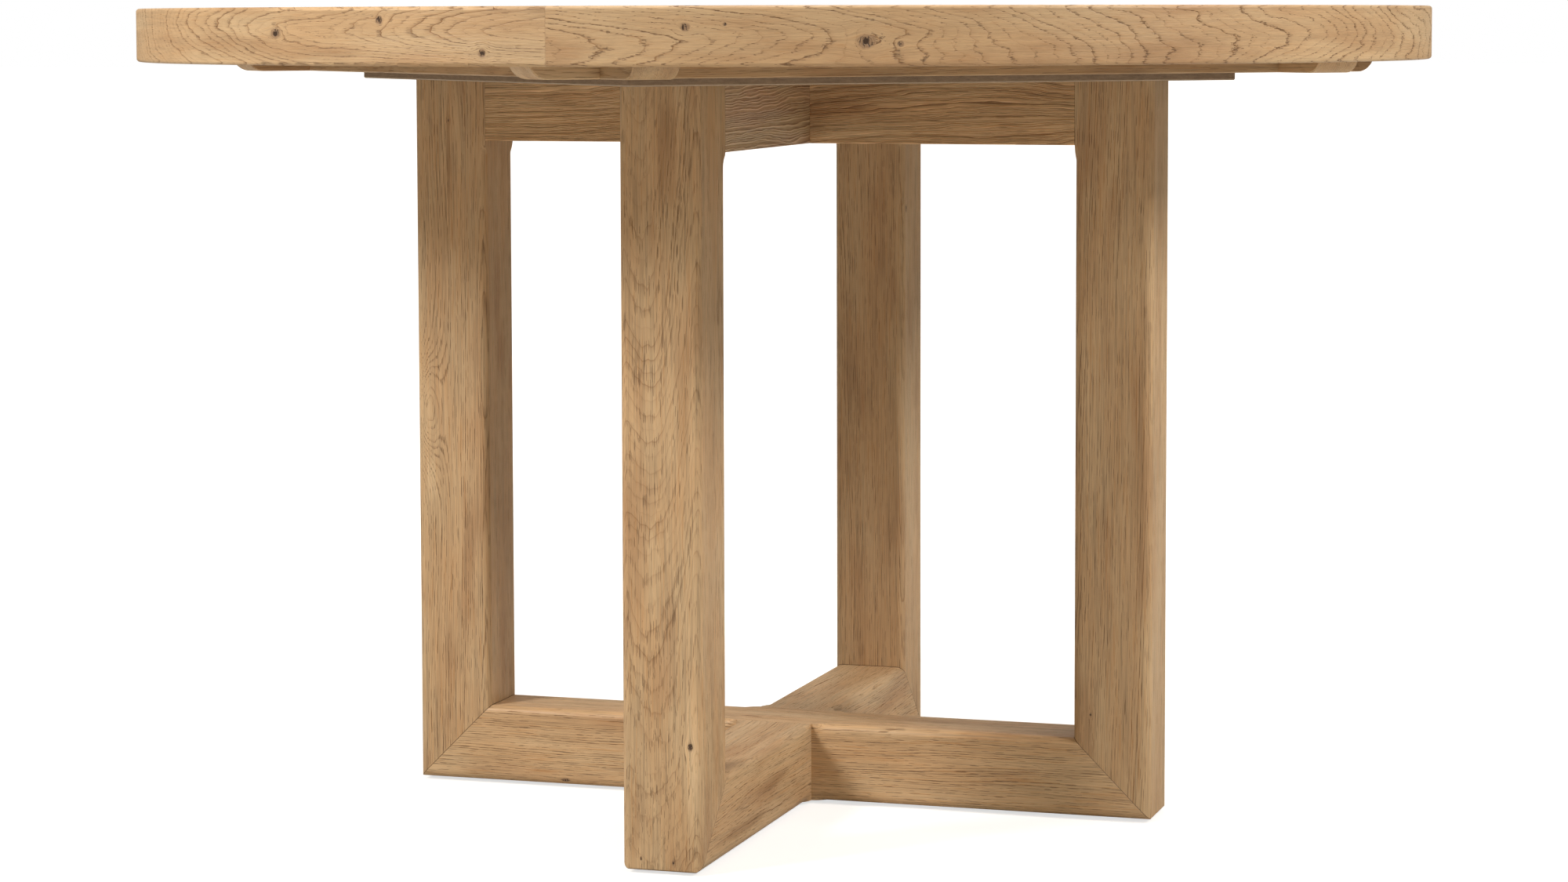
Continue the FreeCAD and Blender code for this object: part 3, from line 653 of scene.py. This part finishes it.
def dress_planks():
    """The top's boards, plain sawn, each a little different."""
    count = sum(name.startswith("top_plank_") for name in NODES)
    panel = RIM_RADIUS - BAND_DEPTH
    width = 2 * panel / count
    z = middle_of("top_plank_5").z
    for i in range(count):
        low = -panel + i * width
        flip = 1 if i % 2 else -1
        pith = (low + width * (0.5 + 0.2 * math.sin(1.7 * i)), z + flip * 0.10)
        dress("top_plank_%d" % (i + 1), oak_material(
            "oak_plank_%d" % (i + 1), LATTICE_TURN, pith, (0.02 * flip, 0.05), ring=3.2, seed=21.0 + i,
            tone=0.85 + 0.10 * math.sin(2.4 * i + 1.0), warm=0.5 + 0.5 * math.sin(3.1 * i), wander=0.05,
            pore_length=10.0, lines=0.65, seam=plank_seam(low, low + width)))


def dress_underside():
    """Bearers and rim blocks."""
    z = middle_of("bearer_back_left").z
    # Painted light: a paler patch on the front-right bearer's stub past the crossing, the end the key light
    # reaches. Painted shade: its tone of 0.84 darkens the rest of that bearer, which lies in shade
    stub_painted_light = [((-0.40, -0.34, z), (100.0, 200.0, 200.0), -0.9)]
    bearers = (("bearer_back_left", 0.0, 1.0, ()), ("bearer_front_right", 0.0, 0.84, stub_painted_light),
               ("bearer_back_right", 90.0, 1.0, ()), ("bearer_front_left", 90.0, 0.88, ()))
    for i, (name, turn, tone, stains) in enumerate(bearers):
        pith = (0.40 - 0.8 * (i % 2), z + 0.09)
        dress(name, oak_material(
            "oak_" + name, LATTICE_TURN + turn, pith, (0.02, 0.03), ring=1.8, seed=31.0 + i, tone=tone,
            pore_length=14.0, lines=0.35, pores=0.5, fibres=1.1, stains=stains))
    for i in range(6):
        dress("rim_block_%d" % (i + 1), oak_material(
            "oak_rim_block_%d" % (i + 1), 45.0 + 60.0 * i, (0.5, z - 0.1), (0.01, 0.02), ring=1.8,
            seed=41.0 + i, tone=0.95, lines=0.5, pores=0.5, pore_length=13.0, fibres=1.0))


# ---------------------------------------------------------------- other materials

METAL_MOTTLE = 400.0
BOARD_PLIES = 700.0
BOARD_MOTTLE = (120.0, 120.0, 500.0)
BOARD_FIBRES = (900.0, 60.0, 900.0)
BOARD_DARK = (0.17, 0.108, 0.063, 1.0)
BOARD_LIGHT = (0.38, 0.258, 0.162, 1.0)
VENEER_COLOUR = (0.62, 0.50, 0.37, 1.0)
VENEER_HEIGHTS = (0.8 * MM, 6.8 * MM)
VENEER_HALF_WIDTHS = (0.6 * MM, 0.5 * MM)


def plain_material(name, colour, rough, metal=0.0, grain=0.15):
    """Metal or nylon with fine mottling, worn roughness and a little relief."""
    material, g, surface = new_material(name)
    place = g.node("ShaderNodeTexCoord").outputs["Object"]
    mottle = g.noise(g.vector("SCALE", place, scale=METAL_MOTTLE), detail=4.0, roughness=0.6)
    dark = [c * (1 - grain) for c in colour] + [1.0]
    light = [min(1.0, c * (1 + grain)) for c in colour] + [1.0]
    surface["Metallic"].default_value = metal
    g.feed(surface["Base Color"], g.blend(mottle, dark, light))
    g.feed(surface["Roughness"], g.math("ADD", rough, g.centred(mottle, 0.2)))
    g.feed(surface["Normal"], g.bump(mottle, 0.3, 0.1 * MM))
    return material


def board_material():
    """Stained plywood: mottled faces, thin plies on the edge, two of them pale."""
    material, g, surface = new_material("stained_board")
    place = g.node("ShaderNodeTexCoord").outputs["Object"]
    height = g.split(place)[2]
    plies = g.noise(g.join(g.math("MULTIPLY", height, BOARD_PLIES), 3.0, 0.0), detail=1.0)
    mottle = g.noise(g.vector("MULTIPLY", place, BOARD_MOTTLE), detail=4.0, roughness=0.65)
    fibre = g.noise(g.vector("MULTIPLY", place, BOARD_FIBRES), detail=2.0)
    tone = g.math("ADD", g.centred(plies, 0.5), g.centred(mottle, 1.6))
    tone = g.math("ADD", tone, g.centred(fibre, 0.3))
    colour = g.blend(g.math("ADD", tone, 0.5, clamp=True), BOARD_DARK, BOARD_LIGHT)
    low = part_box("mounting_board")[0].z
    lines = [line_mask(g, g.math("SUBTRACT", height, low + rise), half_width)
             for rise, half_width in zip(VENEER_HEIGHTS, VENEER_HALF_WIDTHS)]
    colour = g.blend(g.math("MULTIPLY", g.math("MAXIMUM", *lines), 0.4), colour, VENEER_COLOUR)
    g.feed(surface["Base Color"], colour)
    g.feed(surface["Roughness"], g.math("ADD", 0.6, g.centred(mottle, 0.2)))
    g.feed(surface["Normal"], g.bump(g.math("ADD", mottle, fibre), 0.5, 0.3 * MM))
    return material


def dress_hardware():
    """The board, the metal fittings, the glides and the hidden tenons."""
    dress("mounting_board", board_material())
    zinc = plain_material("yellow_zinc", (0.62, 0.52, 0.30), 0.35, metal=1.0)
    black = plain_material("black_zinc", (0.09, 0.09, 0.095), 0.4, metal=0.9)
    brass = plain_material("insert_brass", (0.75, 0.58, 0.30), 0.35, metal=1.0)
    nylon = plain_material("brown_nylon", (0.12, 0.08, 0.055), 0.5, grain=0.1)
    beech = oak_material("beech", 0.0, (0.3, 0.1), ring=3.0, seed=51.0, tone=1.05, lines=0.2, pores=0.2)
    for name, material in (("base_screws", zinc), ("bearer_screws", zinc), ("top_bolts", black),
                           ("top_bolt_washers", black), ("threaded_inserts", brass), ("floor_glides", nylon),
                           ("mitre_tenons", beech), ("rail_tenons", beech)):
        dress(name, material)


# ---------------------------------------------------------------- studio

FLOOR_RADIUS = 60.0
FLOOR_COLOUR = (0.56, 0.54, 0.50, 1.0)
FLOOR_LIFT = 0.68
FLOOR_LIFT_STARTS, FLOOR_LIFT_ENDS = 0.9, 4.0
WORLD_LIGHT = (0.38, 0.35, 0.29, 1.0)
LIGHT_AIM = Vector((0.0, 0.0, 0.4))
LIGHT_DISTANCE = 4.0
CAMERA_AZIMUTH = 17.33
CAMERA_DISTANCE = 3.635
CAMERA_HEIGHT = 0.748
CAMERA_DIP = 4.45
CAMERA_ROLL = 0.14
CAMERA_LENS = 87.13
CAMERA_SHIFT_Y = -0.08


def make_floor():
    """A pale floor, lifted to near white where the camera sees it and white far off, with a soft shadow."""
    bpy.ops.mesh.primitive_circle_add(vertices=96, radius=FLOOR_RADIUS, fill_type="NGON")
    floor = bpy.context.object
    floor.name = "studio_floor"
    material, g, surface = new_material("studio_floor")
    surface["Base Color"].default_value = FLOOR_COLOUR
    surface["Roughness"].default_value = 0.9
    surface["Specular IOR Level"].default_value = 0.1
    surface["Emission Color"].default_value = WHITE
    away = g.vector("LENGTH", g.node("ShaderNodeTexCoord").outputs["Object"])
    far = g.smooth(away, FLOOR_LIFT_STARTS, FLOOR_LIFT_ENDS)
    lift = g.math("MULTIPLY_ADD", far, 1.0 - FLOOR_LIFT, FLOOR_LIFT)
    seen = g.node("ShaderNodeLightPath").outputs["Is Camera Ray"]
    g.feed(surface["Emission Strength"], g.math("MULTIPLY", seen, lift))
    floor.data.materials.append(material)


def make_light(name, azimuth, elevation, size, power):
    """A softbox aimed at the middle of the table; azimuth is its direction from the table, 0 along +X."""
    lamp = bpy.data.lights.new(name, "AREA")
    lamp.shape = "RECTANGLE"
    lamp.size, lamp.size_y = size
    lamp.energy = power
    turn, rise = math.radians(azimuth), math.radians(elevation)
    away = Vector((math.cos(turn) * math.cos(rise), math.sin(turn) * math.cos(rise), math.sin(rise)))
    holder = bpy.data.objects.new(name, lamp)
    holder.location = LIGHT_AIM + away * LIGHT_DISTANCE
    holder.rotation_mode = "QUATERNION"
    holder.rotation_quaternion = (-away).to_track_quat("-Z", "Y")
    bpy.context.scene.collection.objects.link(holder)


def make_world():
    """White where the camera looks past the floor, a low soft light for everything else."""
    world = bpy.data.worlds.new("studio")
    bpy.context.scene.world = world
    world.use_nodes = True
    g = Graph(world.node_tree)
    back = world.node_tree.nodes["Background"]
    seen = g.node("ShaderNodeLightPath").outputs["Is Camera Ray"]
    g.feed(back.inputs["Color"], g.blend(seen, WORLD_LIGHT, WHITE))


def make_camera():
    """The camera that was solved with the table from the photograph's edges."""
    data = bpy.data.cameras.new("camera")
    data.lens = CAMERA_LENS
    data.sensor_width = 36.0
    data.shift_y = CAMERA_SHIFT_Y
    data.clip_end = 200.0
    camera = bpy.data.objects.new("camera", data)
    turn = math.radians(CAMERA_AZIMUTH)
    camera.location = (CAMERA_DISTANCE * math.sin(turn), -CAMERA_DISTANCE * math.cos(turn), CAMERA_HEIGHT)
    camera.rotation_euler = (math.radians(90.0 - CAMERA_DIP), math.radians(CAMERA_ROLL), turn)
    bpy.context.scene.collection.objects.link(camera)
    bpy.context.scene.camera = camera


def make_studio():
    """The floor, four softboxes and the world."""
    make_floor()
    make_light("key", -130.0, 35.5, (0.75, 1.1), 112.0)
    make_light("side", -8.0, 33.2, (0.75, 0.9), 90.0)
    make_light("overhead", -70.0, 80.0, (1.2, 1.2), 80.0)
    make_light("back", 90.0, 42.0, (1.4, 1.4), 30.0)
    make_world()
    bpy.context.scene.view_settings.view_transform = "Standard"


dress_base()
dress_bands()
dress_planks()
dress_underside()
dress_hardware()
make_studio()
make_camera()
